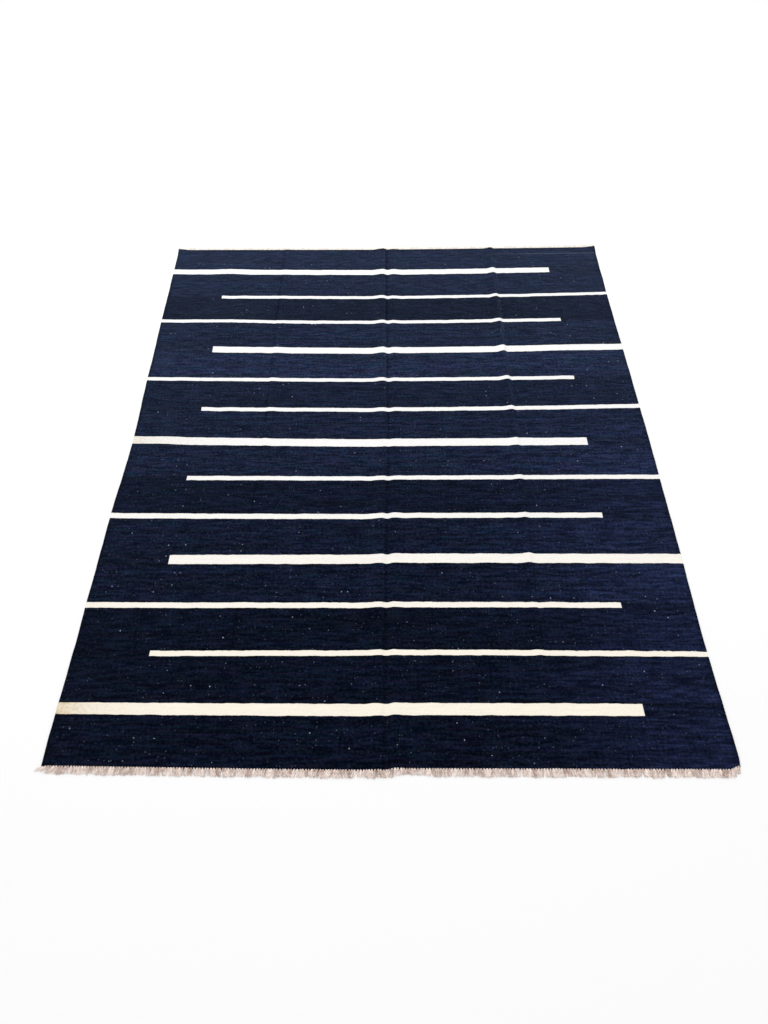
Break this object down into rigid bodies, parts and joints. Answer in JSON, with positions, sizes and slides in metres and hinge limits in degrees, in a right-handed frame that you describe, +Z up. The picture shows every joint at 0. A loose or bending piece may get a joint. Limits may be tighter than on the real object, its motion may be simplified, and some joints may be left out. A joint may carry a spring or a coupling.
{
  "type": "flat-woven kilim rug",
  "caption": "Flat-woven wool rug lying flat, dark navy with narrow ivory weft bars that start from each side in turn, and a fringe of warp ends along both short ends.",
  "frame": {"origin": "on the floor under the middle of the rug's whole outline, both fringes included", "axes": "+X across the rug along its wefts, +Y along its warps to the far end, +Z up from the floor"},
  "size_m": [2.4688, 3.129, 0.014],
  "materials": {
    "wool_weft": "matt hand-spun wool, tightly packed wefts",
    "warp_yarn": "undyed plied yarn, cut ends"
  },
  "bodies": {
    "root": {"woven_field": "wool_weft", "fringe_far": "warp_yarn", "fringe_near": "warp_yarn"}
  },
  "joints": []
}
